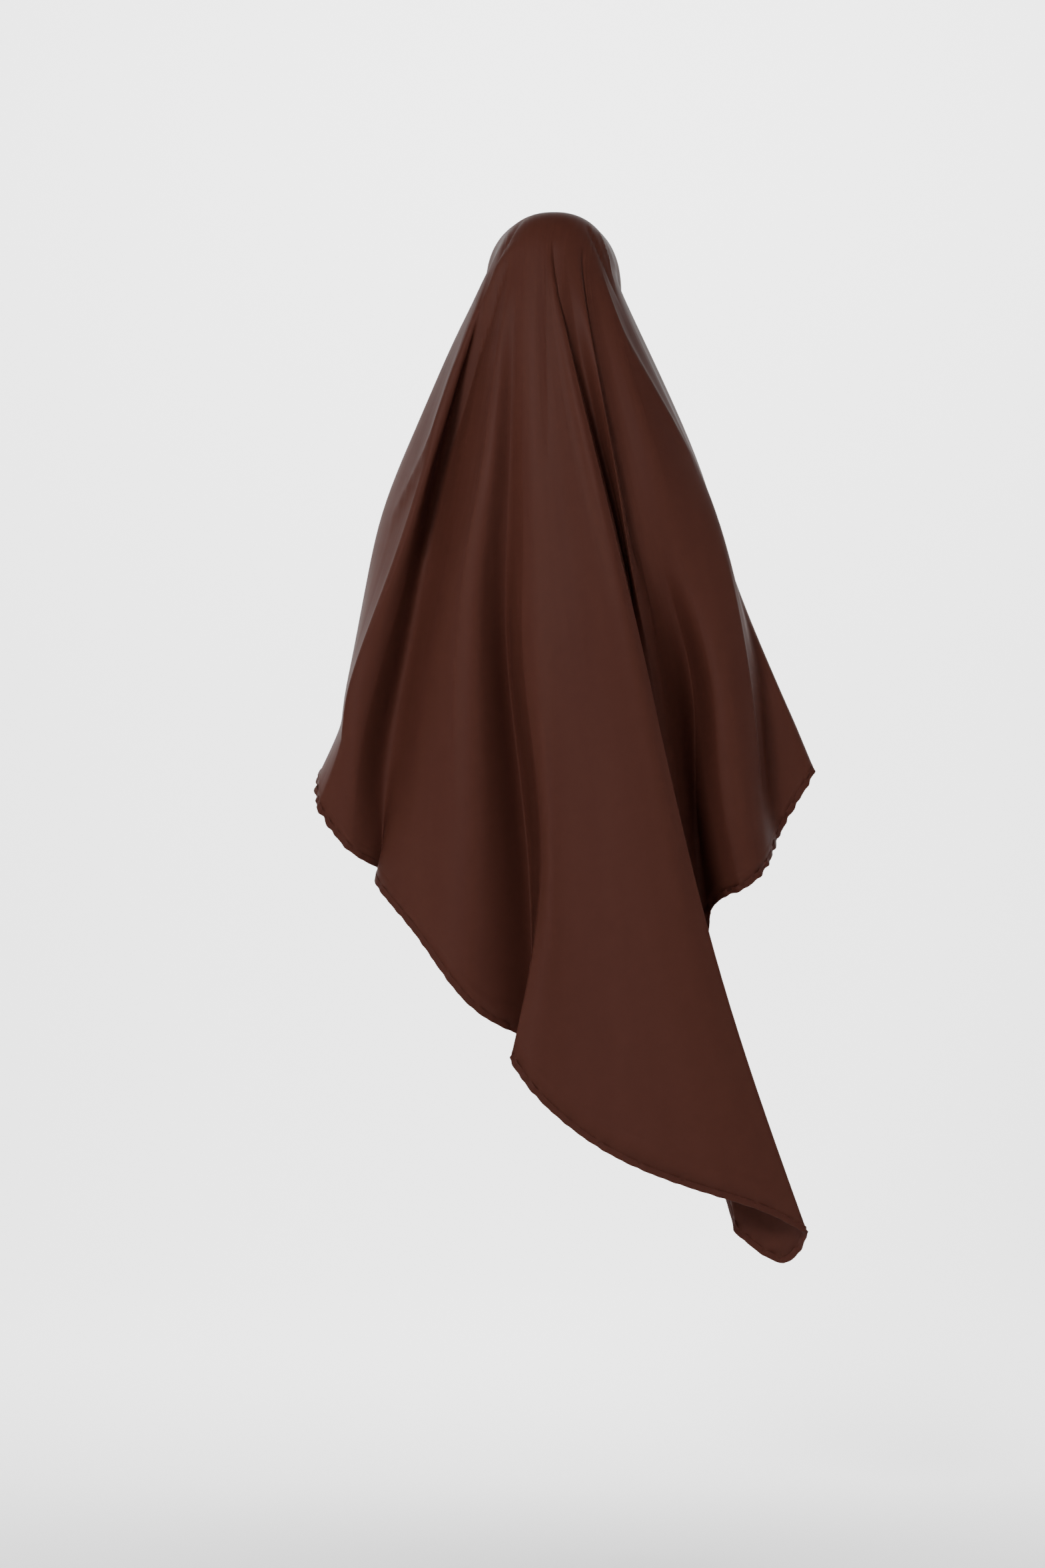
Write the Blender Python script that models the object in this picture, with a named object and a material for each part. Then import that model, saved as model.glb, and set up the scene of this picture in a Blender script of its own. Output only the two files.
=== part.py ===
"""Khimar veil as it is worn: one long drape of satin crepe with a face opening.

Metres, +Z up. The origin is the crown seat, the point on top of the head that carries
the veil. +X is the wearer's right side and +Y is the way the wearer faces, so the long
tail hangs on the -Y side. The cloth is worked out as one sheet between two loops, the
face edge and the lower hem: a few rings shape the hood, and a table of folds carries
every fold line from the hood over the shoulders to the hem.
"""
from collections import namedtuple

import bpy
import numpy as np

# Hood and face opening
HEAD_BREADTH = 0.172
HEAD_DEPTH = 0.200
HEAD_HEIGHT = 0.240
FACE_WIDTH = 0.146

# The drape at shoulders, upper arms and elbows: drop below the crown, width and depth.
# On the chest each level lies lower, by up to its share of the slope.
SHOULDER_DROP = 0.320
SHOULDER_SPAN = 0.400
SHOULDER_DEPTH = 0.300
ARM_DROP = 0.460
ARM_SPAN = 0.480
ARM_DEPTH = 0.320
ELBOW_DROP = 0.600
ELBOW_SPAN = 0.560
ELBOW_DEPTH = 0.340
CHEST_SLOPE = 0.130
ARM_SLOPE_SHARE = 0.7
ELBOW_SLOPE_SHARE = 0.5

# The lower hem: width, depth, and how far it hangs below the crown
HEM_SPAN = 0.640
HEM_DEPTH = 0.420
SIDE_DROP = 0.730
TAIL_DROP = 1.340
FRONT_DROP = 0.930

# Cloth and stitched edges
CLOTH_THICKNESS = 0.0016
HEM_WIDTH = 0.005
HEM_THICKNESS = 0.0030
FACE_HEM_WIDTH = 0.007
SEAM_GAP = 0.0004

# Mesh density: steps between two fold lines, and between two stations of a fold line
STEPS_ACROSS = 3
STEPS_DOWN = (1, 2, 2, 2, 3, 4, 3, 3, 3, 3)

CLOTH_COLOUR = "#4C271E"
HEM_COLOUR = "#46231B"
CLOTH_ROUGHNESS = 0.55

# Rings of the hood, from the face edge back to the nape. half: share of half the head
# breadth, or of half the face width where face is true. lean: shift to the wearer's
# right in the same share. The other columns are (y, z) points on the middle line at the
# top and at the bottom, and at the widest side point, as shares of the head depth and
# the head height. y counts from the crown seat.
Ring = namedtuple("Ring", "name face half lean top side bottom")
HOOD_RINGS = (
    Ring("face_edge", True, 1.00, 0.00, (0.43, -0.16), (0.36, -0.54), (0.41, -0.98)),
    Ring("hood_lip", False, 0.93, -0.01, (0.38, -0.07), (0.30, -0.50), (0.46, -1.05)),
    Ring("hood_front", False, 1.03, -0.04, (0.22, -0.01), (0.16, -0.43), (0.47, -1.12)),
    Ring("crown", False, 0.96, 0.00, (0.00, 0.00), (0.02, -0.42), (0.48, -1.22)),
    Ring("back_crown", False, 0.95, 0.00, (-0.29, -0.05), (-0.06, -0.42), (0.49, -1.32)),
    Ring("occiput", False, 1.09, -0.09, (-0.50, -0.29), (-0.08, -0.44), (0.51, -1.43)),
)

# Fold lines, once round the veil, from the wearer's left side across the back to the
# right side and back round the front. turn: degrees round the head, 0 at the back and
# 90 at the wearer's right. The pairs are (across, behind): shares of half the span and
# of half the depth at the shoulders, the upper arms, the elbows and the hem, with behind
# below zero on the chest. bow moves the line sideways and outwards halfway between
# elbows and hem, in the hem's shares. drop runs from 0 at the side drop to 1 at the tail
# drop, or to 1 at the front drop for the lines of the front.
Fold = namedtuple("Fold", "name turn shoulder arm elbow bow hem drop")
BACK_FOLDS = (
    Fold("left_edge", -96, (-1.03, 0.00), (-1.02, 0.00), (-0.96, 0.00), (0.02, 0.00), (-0.94, 0.00), -0.02),
    Fold("left_arm", -66, (-0.81, 0.63), (-0.86, 0.51), (-0.93, 0.35), (0.02, 0.00), (-0.95, 0.30), 0.06),
    Fold("left_fold", -58, (-0.74, 0.60), (-0.77, 0.53), (-0.82, 0.41), (-0.02, -0.01), (-0.84, 0.31), 0.14),
    Fold("left_dip", -52, (-0.71, 0.57), (-0.71, 0.50), (-0.73, 0.44), (-0.03, -0.02), (-0.70, 0.33), 0.19),
    Fold("left_pinch", -48, (-0.64, 0.69), (-0.66, 0.64), (-0.69, 0.60), (0.02, -0.02), (-0.72, 0.48), 0.21),
    Fold("left_panel", -44, (-0.51, 0.85), (-0.54, 0.83), (-0.56, 0.79), (-0.02, 0.00), (-0.55, 0.72), 0.32),
    Fold("mid_panel", -36, (-0.41, 0.94), (-0.40, 0.92), (-0.36, 0.89), (0.01, 0.00), (-0.30, 0.80), 0.48),
    Fold("mid_valley", -27, (-0.30, 0.89), (-0.27, 0.85), (-0.23, 0.81), (0.04, -0.01), (-0.10, 0.71), 0.54),
    Fold("tail_left", -20, (-0.22, 0.96), (-0.18, 0.95), (-0.15, 0.94), (0.09, 0.00), (-0.18, 0.89), 0.57),
    Fold("tail_inner", -12, (-0.13, 1.00), (-0.07, 1.02), (-0.03, 1.04), (0.03, 0.00), (-0.01, 0.95), 0.68),
    Fold("tail_mid", -5, (0.02, 1.01), (0.09, 1.05), (0.14, 1.07), (0.03, 0.00), (0.28, 1.03), 0.78),
    Fold("tail_outer", 0, (0.15, 1.05), (0.25, 1.06), (0.32, 1.07), (-0.01, 0.00), (0.66, 1.07), 0.85),
    Fold("tail_edge", 5, (0.23, 1.05), (0.33, 1.05), (0.40, 1.02), (-0.05, 0.00), (0.96, 0.98), 0.92),
    Fold("tail_under", 14, (0.27, 0.87), (0.35, 0.89), (0.38, 0.92), (-0.03, 0.00), (0.88, 0.82), 0.99),
    Fold("pleat", 27, (0.34, 1.00), (0.38, 0.94), (0.42, 0.84), (0.00, -0.02), (0.70, 0.76), 0.93),
    Fold("pleat_under", 31, (0.39, 0.85), (0.45, 0.76), (0.46, 0.66), (0.02, 0.00), (0.58, 0.53), 0.62),
    Fold("deep_valley", 37, (0.44, 0.76), (0.53, 0.61), (0.59, 0.46), (0.00, -0.02), (0.60, 0.41), 0.28),
    Fold("lobe", 46, (0.63, 0.80), (0.67, 0.72), (0.71, 0.67), (-0.01, 0.00), (0.72, 0.57), 0.23),
    Fold("lobe_ridge", 58, (0.84, 0.59), (0.90, 0.60), (0.86, 0.60), (0.00, 0.00), (0.84, 0.47), 0.17),
    Fold("right_dip", 66, (0.87, 0.44), (0.92, 0.39), (0.94, 0.29), (-0.01, 0.00), (0.91, 0.26), 0.09),
    Fold("right_edge", 75, (0.89, 0.29), (0.93, 0.22), (1.00, 0.18), (0.00, 0.00), (1.03, 0.10), -0.01),
    Fold("right_turn", 86, (0.90, 0.11), (0.93, 0.00), (0.98, -0.07), (0.00, 0.00), (1.00, -0.10), -0.01),
)
FRONT_FOLDS = (
    Fold("right_side", 98, (0.88, -0.22), (0.91, -0.24), (0.95, -0.27), (0.00, 0.00), (0.92, -0.28), 0.08),
    Fold("right_chest", 118, (0.72, -0.52), (0.77, -0.62), (0.80, -0.70), (0.00, 0.00), (0.75, -0.62), 0.36),
    Fold("right_dent", 137, (0.50, -0.72), (0.52, -0.74), (0.53, -0.74), (0.00, 0.00), (0.50, -0.64), 0.62),
    Fold("right_rise", 157, (0.26, -0.88), (0.27, -0.98), (0.28, -1.00), (0.00, 0.00), (0.27, -0.88), 0.88),
    Fold("centre", 180, (0.00, -0.86), (0.00, -0.90), (0.00, -0.88), (0.00, 0.00), (0.00, -0.76), 1.00),
    Fold("left_rise", 203, (-0.26, -0.88), (-0.27, -0.98), (-0.27, -1.00), (0.00, 0.00), (-0.26, -0.88), 0.9),
    Fold("left_dent", 222, (-0.52, -0.72), (-0.52, -0.74), (-0.52, -0.74), (0.0, 0.0), (-0.48, -0.64), 0.66),
    Fold("left_chest", 241, (-0.76, -0.50), (-0.79, -0.60), (-0.79, -0.68), (0.0, 0.0), (-0.72, -0.60), 0.38),
    Fold("left_turn", 254, (-0.96, -0.20), (-0.95, -0.24), (-0.93, -0.24), (0.0, 0.0), (-0.91, -0.22), 0.05),
)


def spline_weights(knots, samples, closed):
    """Weights that carry knot values to a curve with no kink, a twice smooth cubic spline.

    Row k of the result holds the share of every knot value in sample k. The bends at the
    knots come from one set of linear equations, with no bend at the ends of an open line.
    """
    count = len(knots) - 1 if closed else len(knots)
    gaps = np.diff(knots)
    bend_side = np.zeros((count, count))
    value_side = np.zeros((count, count))
    for i in range(count):
        if not closed and i in (0, count - 1):
            bend_side[i, i] = 1.0
            continue
        before, after = (i - 1) % count, (i + 1) % count
        gap_before, gap_after = gaps[i - 1], gaps[i]
        bend_side[i, before] += gap_before / 6
        bend_side[i, i] += (gap_before + gap_after) / 3
        bend_side[i, after] += gap_after / 6
        value_side[i, before] += 1 / gap_before
        value_side[i, i] -= 1 / gap_before + 1 / gap_after
        value_side[i, after] += 1 / gap_after
    bends = np.linalg.solve(bend_side, value_side)
    low = np.clip(np.searchsorted(knots, samples, side="right") - 1, 0, len(gaps) - 1)
    high = (low + 1) % count
    gap = gaps[low]
    share = (samples - knots[low]) / gap
    rest = 1 - share
    values = np.eye(count)
    straight = rest[:, None] * values[low] + share[:, None] * values[high]
    curved = (rest**3 - rest)[:, None] * bends[low] + (share**3 - share)[:, None] * bends[high]
    return straight + curved * (gap**2 / 6)[:, None]


def centripetal_knots(points, closed):
    """Knots whose gaps are the root of the mean distance from each point to the next.

    points is (count, lines, 3). The root keeps the curve from looping where two close
    points follow two distant ones.
    """
    following = np.roll(points, -1, axis=0) if closed else points[1:]
    here = points if closed else points[:-1]
    distance = np.linalg.norm(following - here, axis=2).mean(axis=1)
    return np.concatenate(([0.0], np.cumsum(np.sqrt(distance))))


def subdivided(knots, steps):
    """Sample values that cut each gap between two knots into its number of steps."""
    pieces = [np.linspace(a, b, n, endpoint=False) for a, b, n in zip(knots, knots[1:], steps)]
    return np.concatenate(pieces)


def hood_ring(ring, turn):
    """Points of one hood ring at the given turns.

    Each quarter is a quarter ellipse from the middle line to the side point: the x runs
    with the sine of the turn, and y and z run from the side values to those of the top
    or the bottom with its cosine.
    """
    breadth = (FACE_WIDTH if ring.face else HEAD_BREADTH) / 2
    scale = np.array([HEAD_DEPTH, HEAD_HEIGHT])
    top, side, bottom = (np.array(pair) * scale for pair in (ring.top, ring.side, ring.bottom))
    along = np.cos(turn)[:, None]
    middle = np.where(along > 0, top, bottom)
    flat = side + (middle - side) * np.abs(along)
    return np.column_stack((breadth * (ring.half * np.sin(turn) + ring.lean), flat))


def station(pairs, span, depth, height):
    """Points (x, y, z) of one station from its (across, behind) shares and heights."""
    pairs = np.array(pairs)
    return np.column_stack((pairs[:, 0] * span / 2, -pairs[:, 1] * depth / 2, height))


def fold_stations():
    """The fold lines at the shoulders, upper arms, elbows, halfway down and the hem."""
    folds = BACK_FOLDS + FRONT_FOLDS
    turn = np.radians([fold.turn for fold in folds])
    on_chest = np.clip(-np.cos(turn), 0, 1)
    shoulder = station([f.shoulder for f in folds], SHOULDER_SPAN, SHOULDER_DEPTH,
                       -SHOULDER_DROP - CHEST_SLOPE * on_chest)
    arm = station([f.arm for f in folds], ARM_SPAN, ARM_DEPTH,
                  -ARM_DROP - CHEST_SLOPE * ARM_SLOPE_SHARE * on_chest)
    elbow = station([f.elbow for f in folds], ELBOW_SPAN, ELBOW_DEPTH,
                    -ELBOW_DROP - CHEST_SLOPE * ELBOW_SLOPE_SHARE * on_chest)
    longest = np.array([TAIL_DROP] * len(BACK_FOLDS) + [FRONT_DROP] * len(FRONT_FOLDS))
    drop = SIDE_DROP + np.array([f.drop for f in folds]) * (longest - SIDE_DROP)
    hem = station([f.hem for f in folds], HEM_SPAN, HEM_DEPTH, -drop)
    bow = station([f.bow for f in folds], HEM_SPAN, HEM_DEPTH, np.zeros(len(folds)))
    return turn, [shoulder, arm, elbow, (elbow + hem) / 2 + bow, hem]


def drape_grid():
    """The middle of the cloth as a grid of points, closed across and open down.

    Row k runs round the veil at one share of the way from the face edge to the hem. The
    crown is lifted by half the cloth, so that its underside rests on the crown seat.
    """
    turn, lower = fold_stations()
    across = centripetal_knots(np.stack(lower, axis=1), closed=True)
    samples = subdivided(across, [STEPS_ACROSS] * (len(across) - 1))
    full_turn = np.append(turn, turn[0] + 2 * np.pi)
    turns = np.interp(samples, across, full_turn)
    rings = [hood_ring(ring, turns) for ring in HOOD_RINGS]
    weights = spline_weights(across, samples, closed=True)
    rings += [weights @ ring for ring in lower]
    rings = np.array(rings)
    down = centripetal_knots(rings, closed=False)
    heights = np.append(subdivided(down, STEPS_DOWN), down[-1])
    grid = np.einsum("ks,spc->kpc", spline_weights(down, heights, closed=False), rings)
    return grid + np.array([0.0, 0.0, CLOTH_THICKNESS / 2])


def unit(vectors):
    """Vectors of length one in the same directions."""
    return vectors / np.linalg.norm(vectors, axis=-1, keepdims=True)


def grid_directions(grid):
    """Outward normal at each point, and the way down in the cloth square to its row.

    Both are evened out with their neighbours in the row, which keeps the wall and the
    stitched edges whole where a fold turns sharply between two points.
    """
    down = np.gradient(grid, axis=0)
    around = unit(np.roll(grid, -1, axis=1) - np.roll(grid, 1, axis=1))
    normal = evened(unit(np.cross(down, around)))
    return evened(np.cross(around, normal)), normal


def evened(vectors):
    """Unit vectors averaged one, two, one with the vectors before and after in the row."""
    return unit(np.roll(vectors, 1, axis=1) + 2 * vectors + np.roll(vectors, -1, axis=1))


def closed_shell(layers):
    """Points and triangles of a ring of layers, each a closed loop of points.

    layers is (layer, point, 3). Layer k joins layer k + 1, and the last one joins the
    first, so the result is a closed tube bent round the loop. The first half of the
    layers is the outer face and the second half runs back as the inner face. Each cell
    is cut along one diagonal, the same one on both faces, so the wall keeps its
    thickness where a cell is twisted.
    """
    rows, columns = layers.shape[:2]
    row, column = np.meshgrid(np.arange(rows), np.arange(columns), indexing="ij")
    next_row, next_column = (row + 1) % rows, (column + 1) % columns
    here, below = row * columns + column, next_row * columns + column
    across, beyond = row * columns + next_column, next_row * columns + next_column
    falling = np.stack((here, below, beyond, here, beyond, across), axis=-1)
    rising = np.stack((here, below, across, below, beyond, across), axis=-1)
    triangles = np.where((row < rows / 2)[..., None], falling, rising)
    return layers.reshape(-1, 3), triangles.reshape(-1, 3)


def add_piece(name, layers, colour, roughness):
    """One named object from the layers, smooth, with its own Principled material."""
    points, triangles = closed_shell(layers)
    mesh = bpy.data.meshes.new(name)
    mesh.from_pydata(points.tolist(), [], triangles.tolist())
    mesh.update()
    mesh.shade_smooth()
    mesh.materials.append(cloth_material(name + "_cloth", colour, roughness))
    piece = bpy.data.objects.new(name, mesh)
    bpy.context.scene.collection.objects.link(piece)
    return piece


def cloth_material(name, colour, roughness):
    """A matt Principled material from an sRGB hex colour."""
    srgb = np.array([int(colour[i:i + 2], 16) for i in (1, 3, 5)]) / 255
    linear = np.where(srgb <= 0.04045, srgb / 12.92, ((srgb + 0.055) / 1.055) ** 2.4)
    material = bpy.data.materials.new(name)
    material.use_nodes = True
    shader = material.node_tree.nodes["Principled BSDF"]
    shader.inputs["Base Color"].default_value = (*linear, 1.0)
    shader.inputs["Roughness"].default_value = roughness
    shader.inputs["Metallic"].default_value = 0.0
    return material


def edge_band(edge, outward, normal, width):
    """Four layers of a flat stitched band that carries on past the edge of the cloth.

    The band starts one seam gap beyond the edge and runs outward by its width, with half
    its thickness on each side of the cloth.
    """
    half = normal * HEM_THICKNESS / 2
    near = edge + outward * SEAM_GAP
    far = near + outward * width
    return np.array([near + half, far + half, far - half, near - half])


def build_veil():
    """The cloth and its two stitched edges, with a seam gap between them."""
    grid = drape_grid()
    down, normal = grid_directions(grid)
    half = normal * CLOTH_THICKNESS / 2
    wall = np.concatenate((grid + half, (grid - half)[::-1]))
    face_band = edge_band(grid[0], -down[0], normal[0], FACE_HEM_WIDTH)
    hem_band = edge_band(grid[-1], down[-1], normal[-1], HEM_WIDTH)
    add_piece("veil_cloth", wall, CLOTH_COLOUR, CLOTH_ROUGHNESS)
    add_piece("face_edge_hem", face_band[::-1], HEM_COLOUR, CLOTH_ROUGHNESS)
    add_piece("lower_hem", hem_band, HEM_COLOUR, CLOTH_ROUGHNESS)


for existing in list(bpy.data.objects):
    bpy.data.objects.remove(existing, do_unlink=True)
build_veil()
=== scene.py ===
"""Looks of the khimar veil: satin crepe as it hangs from the head, with its stitched edges."""
from collections import namedtuple

import bpy
import numpy as np
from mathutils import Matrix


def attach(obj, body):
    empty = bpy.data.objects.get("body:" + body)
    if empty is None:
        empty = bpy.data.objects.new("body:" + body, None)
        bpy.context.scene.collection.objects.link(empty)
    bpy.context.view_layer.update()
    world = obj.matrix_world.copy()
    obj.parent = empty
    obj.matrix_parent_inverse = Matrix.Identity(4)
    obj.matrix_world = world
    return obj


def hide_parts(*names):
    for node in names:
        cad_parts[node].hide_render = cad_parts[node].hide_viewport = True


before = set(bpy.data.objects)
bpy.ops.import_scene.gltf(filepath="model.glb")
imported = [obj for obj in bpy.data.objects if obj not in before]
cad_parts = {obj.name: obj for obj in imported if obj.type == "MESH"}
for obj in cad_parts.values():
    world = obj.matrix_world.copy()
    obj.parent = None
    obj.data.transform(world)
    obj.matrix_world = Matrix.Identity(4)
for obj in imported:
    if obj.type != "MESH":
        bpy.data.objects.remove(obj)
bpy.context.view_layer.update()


# Veil cloth
# One piece of fluid satin crepe, about 0.3 mm thick, that hangs from the crown of the head.
# It runs in long soft folds over the shoulders and sweeps down behind to a tail on the
# right, +X, with a face opening in front, +Y, and a chest panel under it.

# Hood and face opening
HEAD_BREADTH = 0.172
HEAD_DEPTH = 0.200
HEAD_HEIGHT = 0.240
FACE_WIDTH = 0.146

# The drape at shoulders, upper arms and elbows: drop below the crown, width and depth.
# On the chest each level lies lower, by up to its share of the slope.
SHOULDER_DROP = 0.320
SHOULDER_SPAN = 0.400
SHOULDER_DEPTH = 0.300
ARM_DROP = 0.460
ARM_SPAN = 0.480
ARM_DEPTH = 0.320
ELBOW_DROP = 0.600
ELBOW_SPAN = 0.560
ELBOW_DEPTH = 0.340
CHEST_SLOPE = 0.130
ARM_SLOPE_SHARE = 0.7
ELBOW_SLOPE_SHARE = 0.5

# The lower hem: width, depth, and how far it hangs below the crown
HEM_SPAN = 0.640
HEM_DEPTH = 0.420
SIDE_DROP = 0.730
TAIL_DROP = 1.340
FRONT_DROP = 0.930

# The wall of the cloth, drawn thicker than the real one so that its edge shows, and the mesh
# density: steps between two fold lines at the back and at the front, and between two
# stations of a fold line
CLOTH_WALL = 0.0008
STEPS_BACK = 24
STEPS_FRONT = 6
STEPS_DOWN = (3, 5, 6, 6, 9, 17, 8, 8, 10, 10)

# The crepe: two close browns, the pebble of its weave, which is drawn a little coarser than
# the real one, the drag lines of the hang and the puckers over the hem
CREPE_COLOUR = "#371C16"
CREPE_LIGHT = "#3D211A"
CREPE_ROUGHNESS = 0.58
CREPE_SPECULAR = 0.05
PEBBLE_SIZE = 0.0007
PEBBLE_DEPTH = 0.0001
DRAG_LINE_WIDTH = 0.022
DRAG_LINE_LENGTH = 0.30
DRAG_LINE_DEPTH = 0.0016
PUCKER_PITCH = 0.010
PUCKER_REACH = 0.022
PUCKER_DEPTH = 0.003

# Rings of the hood, from the face edge back to the nape. half: share of half the head
# breadth, or of half the face width where face is true. lean: shift to the right in the
# same share. The other columns are (y, z) points on the middle line at the top and at the
# bottom, and at the widest side point, as shares of the head depth and the head height.
# y counts from the crown seat. power is 1 for an ellipse, and less for a squarer ring.
Ring = namedtuple("Ring", "name face power half lean top side bottom")
HOOD_RINGS = (
    Ring("face_edge", True, 1.0, 1.0, 0.0, (0.43, -0.16), (0.36, -0.54), (0.41, -0.98)),
    Ring("hood_lip", False, 0.9, 0.93, -0.01, (0.38, -0.07), (0.3, -0.5), (0.46, -1.05)),
    Ring("hood_front", False, 0.8, 1.03, -0.04, (0.22, -0.01), (0.16, -0.43), (0.47, -1.12)),
    Ring("crown", False, 0.85, 0.97, -0.05, (0.0, 0.0), (0.02, -0.42), (0.48, -1.22)),
    Ring("back_crown", False, 0.9, 0.96, -0.04, (-0.29, -0.05), (-0.06, -0.42), (0.49, -1.32)),
    Ring("occiput", False, 1.0, 1.06, -0.1, (-0.5, -0.29), (-0.08, -0.44), (0.51, -1.43)),
)

# Fold lines, once round the veil, from the left side across the back to the right side
# and back round the front. turn: degrees round the head, 0 at the back and 90 at the
# right. The pairs are (across, behind): shares of half the span and
# of half the depth at the shoulders, the upper arms, the elbows and the hem, with behind
# below zero on the chest. bow moves the line sideways and outwards halfway between
# elbows and hem, in the hem's shares. drop runs from 0 at the side drop to 1 at the tail
# drop, or to 1 at the front drop for the lines of the front.
Fold = namedtuple("Fold", "name turn shoulder arm elbow bow hem drop")
BACK_FOLDS = (
    Fold("left_edge", -96, (-1.03, 0.0), (-1.02, 0.0), (-0.96, 0.0), (0.02, 0.0), (-0.94, 0.0), -0.02),
    Fold("left_arm", -66, (-0.81, 0.64), (-0.86, 0.61), (-0.92, 0.54), (0.02, 0.02), (-0.95, 0.35), 0.06),
    Fold("left_fold", -58, (-0.77, 0.59), (-0.78, 0.55), (-0.81, 0.53), (-0.02, 0.02), (-0.82, 0.4), 0.15),
    Fold("left_dip", -52, (-0.71, 0.49), (-0.71, 0.43), (-0.71, 0.35), (-0.03, -0.01), (-0.7, 0.3), 0.19),
    Fold("left_pinch", -48, (-0.62, 0.61), (-0.63, 0.54), (-0.64, 0.47), (0.01, -0.03), (-0.72, 0.42), 0.21),
    Fold("left_panel", -44, (-0.51, 0.8), (-0.54, 0.76), (-0.55, 0.69), (-0.02, -0.03), (-0.55, 0.7), 0.32),
    Fold("mid_panel", -36, (-0.4, 0.93), (-0.4, 0.91), (-0.36, 0.87), (0.01, 0.0), (-0.3, 0.8), 0.48),
    Fold("mid_valley", -27, (-0.3, 0.87), (-0.27, 0.78), (-0.22, 0.66), (0.03, -0.07), (-0.1, 0.65), 0.54),
    Fold("tail_left", -20, (-0.22, 0.96), (-0.18, 0.95), (-0.15, 0.94), (0.09, 0.01), (-0.18, 0.89), 0.57),
    Fold("tail_inner", -12, (-0.13, 1.01), (-0.07, 1.02), (-0.03, 1.04), (0.03, 0.0), (-0.01, 0.95), 0.68),
    Fold("tail_mid", -5, (0.02, 1.03), (0.09, 1.06), (0.14, 1.07), (0.03, 0.0), (0.28, 1.03), 0.78),
    Fold("tail_outer", 0, (0.15, 1.05), (0.25, 1.07), (0.32, 1.07), (-0.01, 0.0), (0.66, 1.07), 0.85),
    Fold("tail_edge", 5, (0.23, 1.05), (0.33, 1.05), (0.4, 1.02), (-0.05, 0.0), (0.96, 0.98), 0.92),
    Fold("tail_under", 14, (0.28, 0.84), (0.36, 0.84), (0.38, 0.86), (-0.03, 0.02), (0.88, 0.82), 0.99),
    Fold("pleat", 27, (0.34, 1.0), (0.38, 0.94), (0.42, 0.84), (0.0, -0.02), (0.7, 0.76), 0.93),
    Fold("pleat_under", 31, (0.39, 0.91), (0.44, 0.8), (0.48, 0.69), (0.01, -0.01), (0.58, 0.53), 0.62),
    Fold("deep_valley", 37, (0.48, 0.85), (0.55, 0.74), (0.61, 0.42), (-0.01, -0.05), (0.6, 0.38), 0.28),
    Fold("lobe", 46, (0.63, 0.83), (0.67, 0.76), (0.69, 0.71), (-0.02, 0.01), (0.72, 0.57), 0.23),
    Fold("lobe_ridge", 58, (0.84, 0.59), (0.9, 0.6), (0.86, 0.6), (0.0, 0.0), (0.84, 0.47), 0.17),
    Fold("right_dip", 66, (0.87, 0.45), (0.92, 0.41), (0.93, 0.36), (-0.01, 0.0), (0.91, 0.27), 0.09),
    Fold("right_edge", 75, (0.89, 0.31), (0.93, 0.27), (0.99, 0.32), (0.0, 0.01), (1.02, 0.26), -0.01),
    Fold("right_turn", 86, (0.9, 0.11), (0.93, 0.03), (0.98, 0.01), (0.0, 0.0), (0.99, 0.0), -0.01),
)
FRONT_FOLDS = (
    Fold("right_side", 98, (0.88, -0.22), (0.91, -0.24), (0.95, -0.27), (0.0, 0.0), (0.92, -0.28), 0.08),
    Fold("right_chest", 118, (0.72, -0.52), (0.77, -0.62), (0.8, -0.7), (0.0, 0.0), (0.75, -0.62), 0.36),
    Fold("right_dent", 137, (0.5, -0.72), (0.52, -0.74), (0.53, -0.74), (0.0, 0.0), (0.5, -0.64), 0.62),
    Fold("right_rise", 157, (0.26, -0.88), (0.27, -0.98), (0.28, -1.0), (0.0, 0.0), (0.27, -0.88), 0.88),
    Fold("centre", 180, (0.0, -0.86), (0.0, -0.9), (0.0, -0.88), (0.0, 0.0), (0.0, -0.76), 1.0),
    Fold("left_rise", 203, (-0.26, -0.88), (-0.27, -0.98), (-0.27, -1.0), (0.0, 0.0), (-0.26, -0.88), 0.9),
    Fold("left_dent", 222, (-0.52, -0.72), (-0.52, -0.74), (-0.52, -0.74), (0.0, 0.0), (-0.48, -0.64), 0.66),
    Fold("left_chest", 241, (-0.76, -0.5), (-0.79, -0.6), (-0.79, -0.68), (0.0, 0.0), (-0.72, -0.6), 0.38),
    Fold("left_turn", 254, (-0.96, -0.2), (-0.95, -0.24), (-0.93, -0.24), (0.0, 0.0), (-0.91, -0.22), 0.05),
)

# How far a fold line is pressed to a sharp edge, from 0, round, to 1
CRISP_FOLDS = {
    "tail_edge": 0.8, "tail_under": 0.3, "pleat": 0.8, "pleat_under": 0.3, "deep_valley": 0.4,
    "lobe": 0.2, "left_arm": 0.5, "left_fold": 0.2, "mid_valley": 0.3, "tail_left": 0.6,
}

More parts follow.
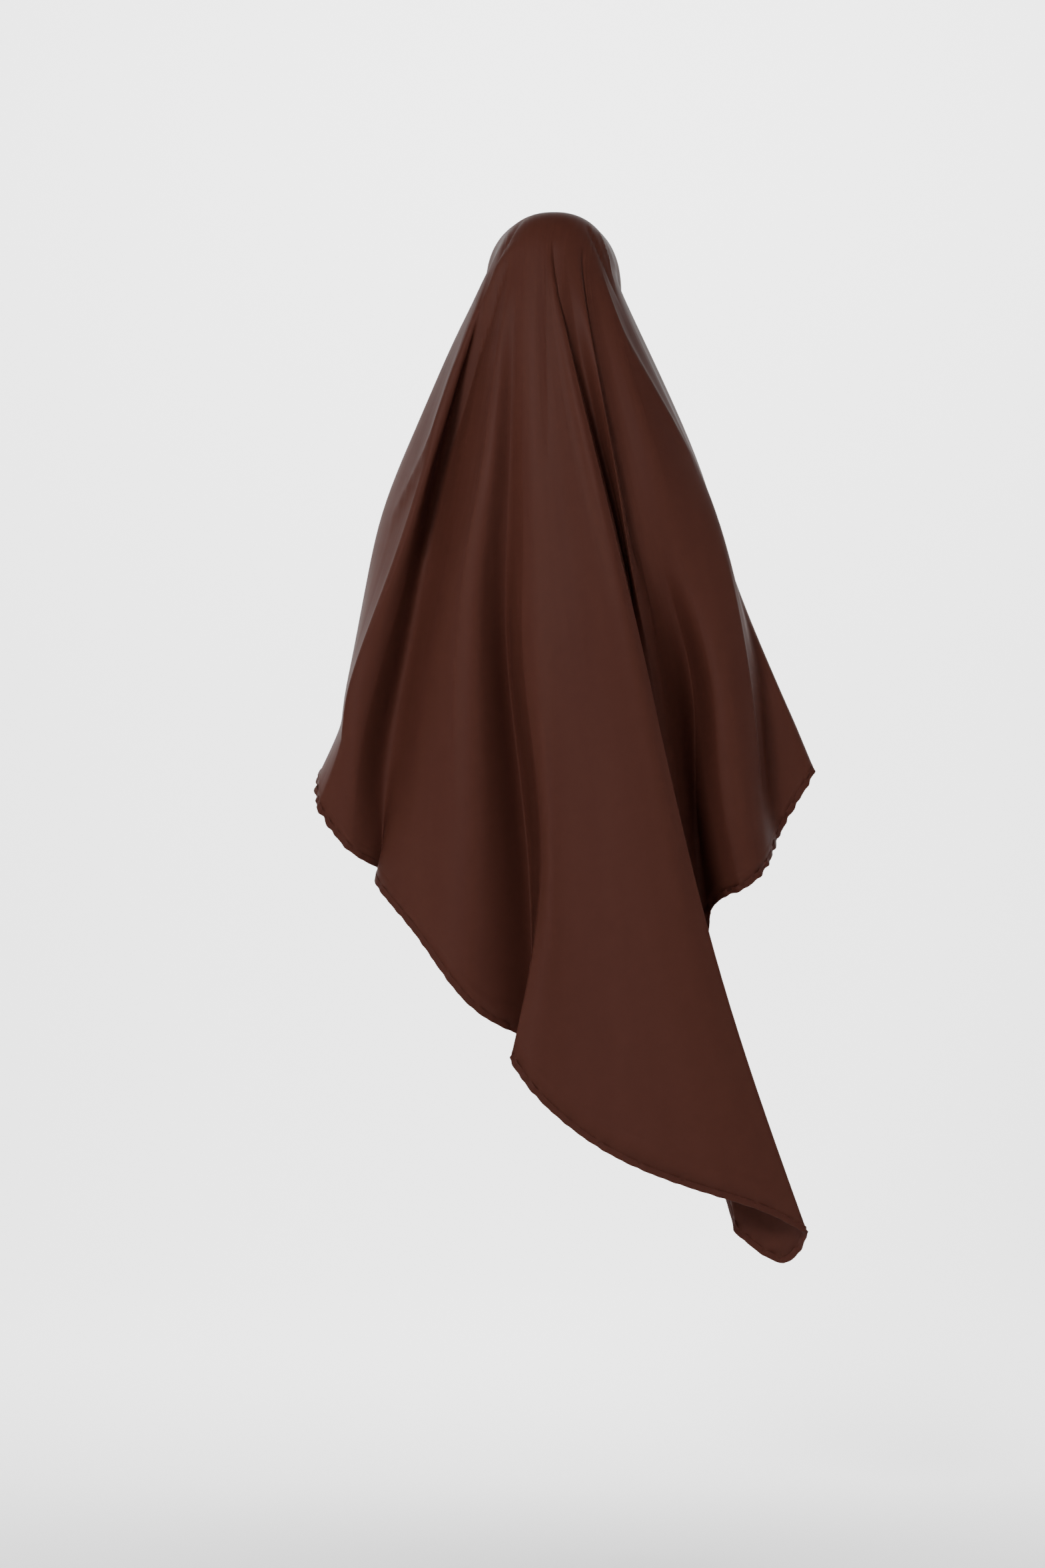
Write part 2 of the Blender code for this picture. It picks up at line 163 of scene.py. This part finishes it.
# Small folds and creases that lie on the large ones. at: pairs (down, across) along the
# line, where down counts the rings and stations from the face edge, 0, to the hem, 10, and
# across counts the fold lines from left_edge, 0. left and right are the widths of the
# slopes on the two sides of the line, and height is how far it stands out, all in metres.
# A height below zero makes a crease.
Wrinkle = namedtuple("Wrinkle", "name at left right height")
WRINKLES = (
    Wrinkle("left_ridge", ((4.6, 6.5), (4.82, 5.88), (5.24, 3.0), (5.44, 1.8), (5.6, 1.2), (6.6, 0.45)),
            0.014, 0.007, 0.006),
    Wrinkle("left_second", ((5.5, 1.4), (6.14, 1.12), (7.04, 1.15), (8.1, 1.05), (9.0, 1.0)),
            0.010, 0.014, 0.004),
    Wrinkle("left_valley", ((4.9, 6.4), (5.24, 4.6), (5.5, 3.5), (6.0, 3.0), (7.0, 3.0)),
            0.008, 0.020, -0.010),
    Wrinkle("thin_ridge", ((5.15, 6.4), (5.24, 6.25), (5.52, 5.71), (5.78, 5.58), (7.04, 5.55), (8.9, 5.58)),
            0.012, 0.016, 0.006),
    Wrinkle("nape_dip", ((5.1, 10.2), (5.5, 9.8), (6.2, 9.3)), 0.012, 0.012, -0.002),
    Wrinkle("main_valley", ((4.8, 11.1), (5.16, 11.8), (5.42, 12.35), (5.7, 12.5), (6.2, 12.6), (7.4, 12.6)),
            0.003, 0.012, -0.009),
    Wrinkle("second_valley", ((4.85, 13.95), (5.2, 14.3), (5.6, 14.5), (6.2, 14.6), (7.0, 14.7)),
            0.003, 0.016, -0.008),
    Wrinkle("right_ridge", ((5.05, 17.0), (5.42, 17.21), (5.62, 17.58), (5.82, 17.83), (6.1, 18.1)),
            0.012, 0.006, 0.004),
    Wrinkle("lobe_line", ((6.9, 18.0), (8.0, 18.0), (9.3, 18.0)), 0.014, 0.006, 0.004),
    Wrinkle("left_crease", ((3.6, 7.4), (4.1, 6.2), (4.44, 5.5), (4.9, 4.2)), 0.010, 0.004, -0.0025),
    Wrinkle("right_crease", ((4.1, 14.2), (4.56, 16.42), (4.9, 17.42), (5.2, 17.9)), 0.004, 0.003, -0.003),
    Wrinkle("right_strip", ((3.9, 16.4), (4.2, 17.1), (4.6, 18.0), (5.1, 18.3)), 0.003, 0.003, 0.002),
)


def spline_weights(knots, samples, closed):
    """Weights that carry knot values to a curve with no kink, a twice smooth cubic spline.

    Row k of the result holds the share of every knot value in sample k. The bends at the
    knots come from one set of linear equations, with no bend at the ends of an open line.
    """
    count = len(knots) - 1 if closed else len(knots)
    gaps = np.diff(knots)
    bend_side = np.zeros((count, count))
    value_side = np.zeros((count, count))
    for i in range(count):
        if not closed and i in (0, count - 1):
            bend_side[i, i] = 1.0
            continue
        before, after = (i - 1) % count, (i + 1) % count
        gap_before, gap_after = gaps[i - 1], gaps[i]
        bend_side[i, before] += gap_before / 6
        bend_side[i, i] += (gap_before + gap_after) / 3
        bend_side[i, after] += gap_after / 6
        value_side[i, before] += 1 / gap_before
        value_side[i, i] -= 1 / gap_before + 1 / gap_after
        value_side[i, after] += 1 / gap_after
    bends = np.linalg.solve(bend_side, value_side)
    low = np.clip(np.searchsorted(knots, samples, side="right") - 1, 0, len(gaps) - 1)
    high = (low + 1) % count
    gap = gaps[low]
    share = (samples - knots[low]) / gap
    rest = 1 - share
    values = np.eye(count)
    straight = rest[:, None] * values[low] + share[:, None] * values[high]
    curved = (rest**3 - rest)[:, None] * bends[low] + (share**3 - share)[:, None] * bends[high]
    return straight + curved * (gap**2 / 6)[:, None]


def centripetal_knots(points, closed):
    """Knots whose gaps are the root of the mean distance from each point to the next.

    points is (count, lines, 3). The root keeps the curve from looping where two close
    points follow two distant ones.
    """
    following = np.roll(points, -1, axis=0) if closed else points[1:]
    here = points if closed else points[:-1]
    distance = np.linalg.norm(following - here, axis=2).mean(axis=1)
    return np.concatenate(([0.0], np.cumsum(np.sqrt(distance))))


def subdivided(knots, steps):
    """Sample values that cut each gap between two knots into its number of steps."""
    pieces = [np.linspace(a, b, n, endpoint=False) for a, b, n in zip(knots, knots[1:], steps)]
    return np.concatenate(pieces)


def hood_ring(ring, turn):
    """Points of one hood ring at the given turns.

    Each quarter is a quarter ellipse from the middle line to the side point: the x runs
    with the sine of the turn, and y and z run from the side values to those of the top
    or the bottom with its cosine. Both are raised to the ring's power.
    """
    breadth = (FACE_WIDTH if ring.face else HEAD_BREADTH) / 2
    scale = np.array([HEAD_DEPTH, HEAD_HEIGHT])
    top, side, bottom = (np.array(pair) * scale for pair in (ring.top, ring.side, ring.bottom))
    sine, cosine = np.sin(turn), np.cos(turn)[:, None]
    middle = np.where(cosine > 0, top, bottom)
    flat = side + (middle - side) * np.abs(cosine) ** ring.power
    across = np.sign(sine) * np.abs(sine) ** ring.power
    return np.column_stack((breadth * (ring.half * across + ring.lean), flat))


def station(pairs, span, depth, height):
    """Points (x, y, z) of one station from its (across, behind) shares and heights."""
    pairs = np.array(pairs)
    return np.column_stack((pairs[:, 0] * span / 2, -pairs[:, 1] * depth / 2, height))


def fold_stations():
    """The fold lines at the shoulders, upper arms, elbows, halfway down and the hem."""
    folds = BACK_FOLDS + FRONT_FOLDS
    turn = np.radians([fold.turn for fold in folds])
    on_chest = np.clip(-np.cos(turn), 0, 1)
    shoulder = station([f.shoulder for f in folds], SHOULDER_SPAN, SHOULDER_DEPTH,
                       -SHOULDER_DROP - CHEST_SLOPE * on_chest)
    arm = station([f.arm for f in folds], ARM_SPAN, ARM_DEPTH,
                  -ARM_DROP - CHEST_SLOPE * ARM_SLOPE_SHARE * on_chest)
    elbow = station([f.elbow for f in folds], ELBOW_SPAN, ELBOW_DEPTH,
                    -ELBOW_DROP - CHEST_SLOPE * ELBOW_SLOPE_SHARE * on_chest)
    longest = np.array([TAIL_DROP] * len(BACK_FOLDS) + [FRONT_DROP] * len(FRONT_FOLDS))
    drop = SIDE_DROP + np.array([f.drop for f in folds]) * (longest - SIDE_DROP)
    hem = station([f.hem for f in folds], HEM_SPAN, HEM_DEPTH, -drop)
    bow = station([f.bow for f in folds], HEM_SPAN, HEM_DEPTH, np.zeros(len(folds)))
    return turn, [shoulder, arm, elbow, (elbow + hem) / 2 + bow, hem]


def unit(vectors):
    """Vectors of length one in the same directions."""
    return vectors / np.linalg.norm(vectors, axis=-1, keepdims=True)


def across_weights(knots, samples):
    """Spline weights round the veil, pulled to straight lines beside the crisp folds.

    Straight weights give a sharp edge at a fold line. The share of them runs from the
    crispness of one fold line to that of the next, in proportion to the way between them.
    """
    folds = [fold.name for fold in BACK_FOLDS + FRONT_FOLDS]
    crispness = np.array([CRISP_FOLDS.get(name, 0.0) for name in folds])
    share = np.interp(samples, knots, np.append(crispness, crispness[0]))[:, None]
    count = len(folds)
    place = np.interp(samples, knots, np.arange(count + 1))
    low = np.floor(place).astype(int)
    rest = (place - low)[:, None]
    corners = np.eye(count)
    straight = (1 - rest) * corners[low % count] + rest * corners[(low + 1) % count]
    return (1 - share) * spline_weights(knots, samples, closed=True) + share * straight


def drape(steps_across, row_shares):
    """The middle of the cloth as a grid of points, at the given down values.

    The folds are splines: first round the veil through the fold lines, then down through
    the rings and stations. The crown is lifted by half the wall, so its underside rests on
    the crown seat. Also gives the across value of each column.
    """
    turn, lower = fold_stations()
    across = centripetal_knots(np.stack(lower, axis=1), closed=True)
    samples = subdivided(across, steps_across)
    turns = np.interp(samples, across, np.append(turn, turn[0] + 2 * np.pi))
    rings = [hood_ring(ring, turns) for ring in HOOD_RINGS]
    weights = across_weights(across, samples)
    rings = np.array(rings + [weights @ ring for ring in lower])
    down = centripetal_knots(rings, closed=False)
    heights = np.interp(row_shares, np.arange(len(down)), down)
    grid = np.einsum("ks,spc->kpc", spline_weights(down, heights, closed=False), rings)
    column_shares = np.interp(samples, across, np.arange(len(across)))
    return grid + np.array([0.0, 0.0, CLOTH_WALL / 2]), column_shares


def directions(grid):
    """Outward normal at each point, and the way down in the cloth square to its row."""
    down = np.gradient(grid, axis=0)
    around = unit(np.roll(grid, -1, axis=1) - np.roll(grid, 1, axis=1))
    normal = unit(np.cross(down, around))
    return np.cross(around, normal), normal


def wrinkle_heights(grid, row_shares, column_shares):
    """How far the small folds lift each point off the drape, in metres.

    The cross-section falls off as e to the power of minus the distance from the centre
    line over the wrinkle's width on that side, so the line itself is crisp. The height
    rises and falls with the root of half a sine wave over the length.
    """
    steps = np.linalg.norm(np.diff(grid, axis=1), axis=2)
    along = np.concatenate((np.zeros((len(grid), 1)), np.cumsum(steps, axis=1)), axis=1)
    lifted = np.zeros(grid.shape[:2])
    for wrinkle in WRINKLES:
        down, across = np.array(wrinkle.at).T
        share = np.clip((row_shares - down[0]) / (down[-1] - down[0]), 0, 1)
        centre_column = np.interp(row_shares, down, across)
        centre = np.array([np.interp(c, column_shares, a) for c, a in zip(centre_column, along)])
        beside = along[:, :grid.shape[1]] - centre[:, None]
        width = np.where(beside < 0, wrinkle.left, wrinkle.right)
        bell = np.exp(-np.abs(beside) / width)
        lifted += wrinkle.height * np.sqrt(np.sin(np.pi * share))[:, None] * bell
    return lifted


def row_values():
    """The down value of every row of the mesh."""
    gaps = [k + np.arange(n) / n for k, n in enumerate(STEPS_DOWN)]
    return np.append(np.concatenate(gaps), len(STEPS_DOWN))


def add_surface(name, points, quads, uv_map):
    """A smooth mesh object from its points, four-sided faces and a UV pair per corner."""
    mesh = bpy.data.meshes.new(name)
    mesh.vertices.add(len(points))
    mesh.vertices.foreach_set("co", points.astype(np.float32).ravel())
    mesh.loops.add(quads.size)
    mesh.loops.foreach_set("vertex_index", quads.astype(np.int32).ravel())
    mesh.polygons.add(len(quads))
    mesh.polygons.foreach_set("loop_start", np.arange(0, quads.size, 4, dtype=np.int32))
    mesh.update(calc_edges=True)
    layer = mesh.uv_layers.new(name="metres")
    layer.data.foreach_set("uv", uv_map.astype(np.float32).ravel())
    mesh.shade_smooth()
    surface = bpy.data.objects.new(name, mesh)
    bpy.context.scene.collection.objects.link(surface)
    return surface


def closed_loops(layers, along, around):
    """Points, quads and UV pairs of layers of closed loops, the last joined to the first.

    layers is (layer, point, 3). along has a distance for each point of a loop and one more
    for its end, and around has one for each layer and one more.
    """
    rows, columns = layers.shape[:2]
    row, column = np.meshgrid(np.arange(rows), np.arange(columns), indexing="ij")
    next_row, next_column = (row + 1) % rows, (column + 1) % columns
    corners = ((row, column), (next_row, column), (next_row, next_column), (row, next_column))
    quads = np.stack([r * columns + c for r, c in corners], axis=-1)
    sides = ((row, column), (row + 1, column), (row + 1, column + 1), (row, column + 1))
    uv_map = np.stack([np.stack((along[c], around[r]), axis=-1) for r, c in sides], axis=2)
    return layers.reshape(-1, 3), quads.reshape(-1, 4), uv_map.reshape(-1, 2)


def mean_distances(grid, axis):
    """Distance covered along one axis of a grid of points, averaged over the other axis."""
    steps = np.linalg.norm(np.diff(grid, axis=axis), axis=2).mean(axis=1 - axis)
    return np.concatenate(([0.0], np.cumsum(steps)))


def linear(colour):
    """Linear red, green, blue and full opacity from an sRGB hex colour."""
    srgb = np.array([int(colour[i:i + 2], 16) for i in (1, 3, 5)]) / 255
    return (*np.where(srgb <= 0.04045, srgb / 12.92, ((srgb + 0.055) / 1.055) ** 2.4), 1.0)


def add_node(material, kind, inputs, **settings):
    """A new node with its settings. An input is a value, or the output that feeds it."""
    node = material.node_tree.nodes.new(kind)
    for setting, value in settings.items():
        setattr(node, setting, value)
    for socket, value in inputs.items():
        if isinstance(value, bpy.types.NodeSocket):
            material.node_tree.links.new(value, node.inputs[socket])
        else:
            node.inputs[socket].default_value = value
    return node


def new_material(name, inputs):
    """A Principled material with its constants set on the shader, and the shader."""
    material = bpy.data.materials.new(name)
    material.use_nodes = True
    shader = material.node_tree.nodes["Principled BSDF"]
    for socket, value in inputs.items():
        shader.inputs[socket].default_value = value
    return material, shader


def satin_crepe():
    """Polyester satin crepe: a dense satin woven with a pebble that breaks up its shine.

    To the eye it is a deep, nearly matt brown with soft light on the crests of the folds.
    Its tone shifts a little with the drag lines, and puckers stand over the stitched hem.
    """
    material, shader = new_material("satin_crepe", {
        "Base Color": linear(CREPE_COLOUR), "Roughness": CREPE_ROUGHNESS,
        "Specular IOR Level": CREPE_SPECULAR})
    place = add_node(material, "ShaderNodeTexCoord", {})
    drag_place = add_node(material, "ShaderNodeMapping",
                          {"Vector": place.outputs["UV"],
                           "Scale": (1 / DRAG_LINE_WIDTH, 1 / DRAG_LINE_LENGTH, 1.0)})
    drag = add_node(material, "ShaderNodeTexNoise",
                    {"Vector": drag_place.outputs[0], "Scale": 1.0, "Detail": 2.0})
    pebble = add_node(material, "ShaderNodeTexNoise",
                     {"Vector": place.outputs["Object"], "Scale": 1 / PEBBLE_SIZE, "Detail": 1.0})
    pucker_place = add_node(material, "ShaderNodeMapping",
                            {"Vector": place.outputs["UV"],
                             "Scale": (1 / PUCKER_PITCH, 1 / PUCKER_REACH, 1.0)})
    pucker = add_node(material, "ShaderNodeTexNoise",
                      {"Vector": pucker_place.outputs[0], "Scale": 1.0, "Detail": 1.0})
    split = add_node(material, "ShaderNodeSeparateXYZ", {"Vector": place.outputs["UV"]})
    fade = add_node(material, "ShaderNodeMapRange",
                    {"Value": split.outputs["Y"], "From Min": 0.0, "From Max": PUCKER_REACH,
                     "To Min": 1.0, "To Max": 0.0})
    puckers = add_node(material, "ShaderNodeMath",
                       {0: pucker.outputs[0], 1: fade.outputs[0]}, operation="MULTIPLY")
    drag_bump = add_node(material, "ShaderNodeBump",
                         {"Height": drag.outputs[0], "Distance": DRAG_LINE_DEPTH,
                          "Strength": 0.5})
    pucker_bump = add_node(material, "ShaderNodeBump",
                           {"Height": puckers.outputs[0], "Distance": PUCKER_DEPTH, "Strength": 0.8,
                            "Normal": drag_bump.outputs[0]})
    pebble_bump = add_node(material, "ShaderNodeBump",
                          {"Height": pebble.outputs[0], "Distance": PEBBLE_DEPTH, "Strength": 0.4,
                           "Normal": pucker_bump.outputs[0]})
    tone = add_node(material, "ShaderNodeMix",
                    {"Factor": drag.outputs[0], 6: linear(CREPE_COLOUR), 7: linear(CREPE_LIGHT)},
                    data_type="RGBA")
    material.node_tree.links.new(tone.outputs[2], shader.inputs["Base Color"])
    material.node_tree.links.new(pebble_bump.outputs[0], shader.inputs["Normal"])
    return material


rows_down = row_values()
steps_across = [STEPS_BACK] * len(BACK_FOLDS) + [STEPS_FRONT] * len(FRONT_FOLDS)
cloth_grid, columns_across = drape(steps_across, rows_down)
cloth_normal = directions(cloth_grid)[1]
cloth_lift = wrinkle_heights(cloth_grid, rows_down, columns_across)
cloth_grid = cloth_grid + cloth_normal * cloth_lift[..., None]
cloth_normal = directions(cloth_grid)[1]
half_wall = cloth_normal * CLOTH_WALL / 2
cloth_layers = np.concatenate((cloth_grid + half_wall, (cloth_grid - half_wall)[::-1]))
round_veil = mean_distances(np.concatenate((cloth_grid, cloth_grid[:, :1]), axis=1), 1)
above_hem = mean_distances(cloth_grid, 0)
above_hem = above_hem[-1] - above_hem
both_faces = np.concatenate((above_hem, above_hem[::-1], above_hem[:1]))
veil = add_surface("khimar_cloth", *closed_loops(cloth_layers, round_veil, both_faces))
veil.data.materials.append(satin_crepe())
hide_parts("veil_cloth")
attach(veil, "root")


# Stitched hems
# The lower edge is turned twice and stitched flat, about 8 mm wide, in the cloth's own
# colour. The stitching draws the bias-cut cloth up, so the edge scallops where the cut
# runs across the weave. The face edge is turned and stitched the same way.

HEM_WIDTH = 0.0085
HEM_OVERHANG = 0.0054
HEM_THICKNESS = 0.0016
FACE_HEM_WIDTH = 0.010
FACE_HEM_OVERHANG = 0.0074
HEM_STEPS = 40
HEM_SIDES = 12
HEM_COLOUR = "#381D17"
STITCH_PITCH = 0.0030
STITCH_DEPTH = 0.0004
STITCH_ROW = 0.84
STITCH_ROW_WIDTH = 0.035

# Rows of the drape that the hems follow: down values beside the lower and the face edge
LOWER_EDGE_ROWS = (9.9, 9.95, 10.0)
FACE_EDGE_ROWS = (0.0, 0.05, 0.1)

# Height of the scallops at some across values, in metres, and their mean pitch. The other
# waves have a share of the first one's height and a pitch shorter or longer than its own.
SCALLOP_PLACES = (0.0, 1.0, 2.2, 5.0, 8.3, 9.2, 12.0, 17.0, 20.0, 22.0, 31.0)
SCALLOP_HEIGHTS = (0.0008, 0.0015, 0.0005, 0.0004, 0.0008, 0.0004, 0.0004, 0.0010, 0.0010,
                   0.0005, 0.0006)
SCALLOP_PITCH = 0.019
SCALLOP_WAVES = ((1.0, 1.0, 0.0), (0.7, 0.63, 1.0), (0.3, 1.73, 0.0))
SCALLOP_OUT = 0.6
SCALLOP_UP = 0.7


def flat_hem(edge, outward, normal, width, overhang, along, shares):
    """Loops of a flat stitched hem that lies over the edge and carries on past it.

    The cross-section is a flattened oval, the fourth root of cosine and sine with their
    signs. The scallops are a sum of three sines over the distance along the edge, which
    doesn't repeat at sight, and move the hem outwards and off the cloth.
    """
    phase = 2 * np.pi * along[:-1] / SCALLOP_PITCH
    wave = sum(share * np.sin(rate * phase + start) for share, rate, start in SCALLOP_WAVES)
    wave = (wave * np.interp(shares, SCALLOP_PLACES, SCALLOP_HEIGHTS))[:, None]
    angle = np.linspace(0, 2 * np.pi, HEM_SIDES, endpoint=False)[:, None, None]
    rise, reach = (np.sign(f) * np.sqrt(np.abs(f)) for f in (np.cos(angle), np.sin(angle)))
    middle = edge + outward * (overhang - width / 2 + wave * SCALLOP_OUT)
    middle = middle + normal * wave * SCALLOP_UP
    return middle + outward * reach * width / 2 + normal * rise * HEM_THICKNESS / 2


def stitched_crepe():
    """The same crepe turned and stitched, which gives the eye a faint row of dashes.

    The stitches lie at one share of the way round the hem, sunk by a sine of the length.
    """
    material, shader = new_material("stitched_crepe", {
        "Base Color": linear(HEM_COLOUR), "Roughness": CREPE_ROUGHNESS,
        "Specular IOR Level": CREPE_SPECULAR})
    place = add_node(material, "ShaderNodeTexCoord", {})
    split = add_node(material, "ShaderNodeSeparateXYZ", {"Vector": place.outputs["UV"]})
    along = add_node(material, "ShaderNodeMath", {0: split.outputs["X"], 1: 2 * np.pi / STITCH_PITCH},
                     operation="MULTIPLY")
    dashes = add_node(material, "ShaderNodeMath", {0: along.outputs[0]}, operation="SINE")
    row = add_node(material, "ShaderNodeMath", {0: split.outputs["Y"], 1: STITCH_ROW, 2: STITCH_ROW_WIDTH},
                   operation="COMPARE")
    stitches = add_node(material, "ShaderNodeMath", {0: dashes.outputs[0], 1: row.outputs[0]},
                        operation="MULTIPLY")
    bump = add_node(material, "ShaderNodeBump",
                    {"Height": stitches.outputs[0], "Distance": STITCH_DEPTH, "Strength": 0.8})
    material.node_tree.links.new(bump.outputs[0], shader.inputs["Normal"])
    return material


def add_hem(name, row_shares, edge_row, way_out, width, overhang):
    """A flat hem along one edge of the drape. way_out is 1 at the lower edge, else -1."""
    grid, shares = drape([HEM_STEPS] * len(BACK_FOLDS + FRONT_FOLDS), row_shares)
    down, normal = directions(grid)
    edge = grid[edge_row]
    along = mean_distances(np.concatenate((edge, edge[:1]))[None], 1)
    loops = flat_hem(edge, way_out * down[edge_row], normal[edge_row], width, overhang, along,
                     shares)
    loops = loops[::way_out]
    around = np.linspace(0, 1, HEM_SIDES + 1)
    return add_surface(name, *closed_loops(loops, along, around))


hem_material = stitched_crepe()
lower_turn = add_hem("lower_stitched_hem", LOWER_EDGE_ROWS, -1, 1, HEM_WIDTH,
                     HEM_OVERHANG)
lower_turn.data.materials.append(hem_material)
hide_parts("lower_hem")
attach(lower_turn, "root")
face_turn = add_hem("face_stitched_hem", FACE_EDGE_ROWS, 0, -1, FACE_HEM_WIDTH,
                    FACE_HEM_OVERHANG)
face_turn.data.materials.append(hem_material)
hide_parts("face_edge_hem")
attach(face_turn, "root")


# Floor and backdrop
# A pale round studio cove: a level floor that curves up into a plain wall on all sides. The
# wall is painted on the inside only, so a camera outside it still sees the veil.

FLOOR_LEVEL = -1.68
COVE_MIDDLE = (0.0, -3.5)
COVE_RADIUS = 6.7
COVE_BEND = 1.2
COVE_TOP = 4.5
COVE_SIDES = 128
BEND_STEPS = 24
FLOOR_RINGS = (0.001, 2.0, 4.0)
COVE_COLOUR = "#F4F4F4"


def studio_cove():
    """The cove as rings round its middle: a flat disc, a quarter circle and a wall.

    The innermost ring is small enough to read as a closed floor.
    """
    bend = np.linspace(0, np.pi / 2, BEND_STEPS + 1)
    radius = np.concatenate((FLOOR_RINGS, COVE_RADIUS + COVE_BEND * (np.sin(bend) - 1),
                             [COVE_RADIUS]))
    height = np.concatenate((np.zeros(len(FLOOR_RINGS)), COVE_BEND * (1 - np.cos(bend)),
                             [COVE_TOP - FLOOR_LEVEL])) + FLOOR_LEVEL
    angle = np.linspace(0, 2 * np.pi, COVE_SIDES, endpoint=False)
    x = COVE_MIDDLE[0] + radius[:, None] * np.cos(angle)
    y = COVE_MIDDLE[1] + radius[:, None] * np.sin(angle)
    rings = np.stack((x, y, np.broadcast_to(height[:, None], x.shape)), axis=-1)
    rows, columns = np.meshgrid(np.arange(len(radius) - 1), np.arange(COVE_SIDES), indexing="ij")
    beside = (columns + 1) % COVE_SIDES
    corners = ((rows, columns), (rows + 1, columns), (rows + 1, beside), (rows, beside))
    quads = np.stack([r * COVE_SIDES + c for r, c in corners], axis=-1).reshape(-1, 4)
    points = rings.reshape(-1, 3)
    return add_surface("studio_cove", points, quads, points[quads.ravel()][:, :2])


def painted_inside():
    """Matt white paint, which reads as an even pale ground, on the inner side only."""
    material, shader = new_material("painted_cove", {
        "Base Color": linear(COVE_COLOUR), "Roughness": 0.9, "Specular IOR Level": 0.2})
    side = add_node(material, "ShaderNodeNewGeometry", {})
    outside = add_node(material, "ShaderNodeBsdfTransparent", {})
    mix = add_node(material, "ShaderNodeMixShader",
                   {0: side.outputs["Backfacing"], 1: shader.outputs[0], 2: outside.outputs[0]})
    output = material.node_tree.nodes["Material Output"]
    material.node_tree.links.new(mix.outputs[0], output.inputs["Surface"])
    return material


cove = studio_cove()
cove.data.materials.append(painted_inside())


# Light and camera
# One large soft light to the left of the camera and above it, a weak fill at the right, a
# light on the backdrop, a weak one on the far side of the veil, and pale light from all
# round. The camera is level, 4.5 m behind the veil. Each light has its name, its place, the
# point it is aimed at, its size in metres and its power in watts.

CAMERA_PLACE = (-0.044, -4.5, -0.74)
CAMERA_LENS = 79.55
CAMERA_SENSOR = 36.0
SKY_STRENGTH = 0.10
Light = namedtuple("Light", "name place target size power")
LIGHTS = (
    Light("key_light", (-1.7, -3.6, 1.5), (0.0, 0.0, -0.6), 1.0, 235.0),
    Light("fill_light", (2.6, -3.2, 0.2), (0.0, 0.0, -0.6), 2.5, 30.0),
    Light("backdrop_light", (0.0, 0.9, 1.0), (0.0, 3.2, -0.8), 2.5, 260.0),
    Light("far_side_light", (1.6, 2.4, 1.6), (0.0, 0.0, -0.6), 1.5, 20.0),
)


def add_light(light):
    """A square area light at its place, turned to its target and out of the camera's sight."""
    panel = bpy.data.lights.new(light.name, "AREA")
    panel.size = light.size
    panel.energy = light.power
    lamp = bpy.data.objects.new(light.name, panel)
    lamp.location = light.place
    aim = np.array(light.target) - np.array(light.place)
    turn = np.arctan2(-aim[0], aim[1])
    tilt = np.arccos(-aim[2] / np.linalg.norm(aim))
    lamp.rotation_euler = (tilt, 0.0, turn)
    lamp.visible_camera = False
    bpy.context.scene.collection.objects.link(lamp)


for light in LIGHTS:
    add_light(light)
world = bpy.data.worlds.new("studio")
world.use_nodes = True
sky = world.node_tree.nodes["Background"]
sky.inputs["Color"].default_value = (1.0, 1.0, 1.0, 1.0)
sky.inputs["Strength"].default_value = SKY_STRENGTH
bpy.context.scene.world = world
camera = bpy.data.cameras.new("rear_view")
camera.sensor_fit = "VERTICAL"
camera.sensor_height = CAMERA_SENSOR
camera.lens = CAMERA_LENS
viewpoint = bpy.data.objects.new("rear_view", camera)
viewpoint.location = CAMERA_PLACE
viewpoint.rotation_euler = (np.pi / 2, 0.0, 0.0)
bpy.context.scene.collection.objects.link(viewpoint)
bpy.context.scene.camera = viewpoint
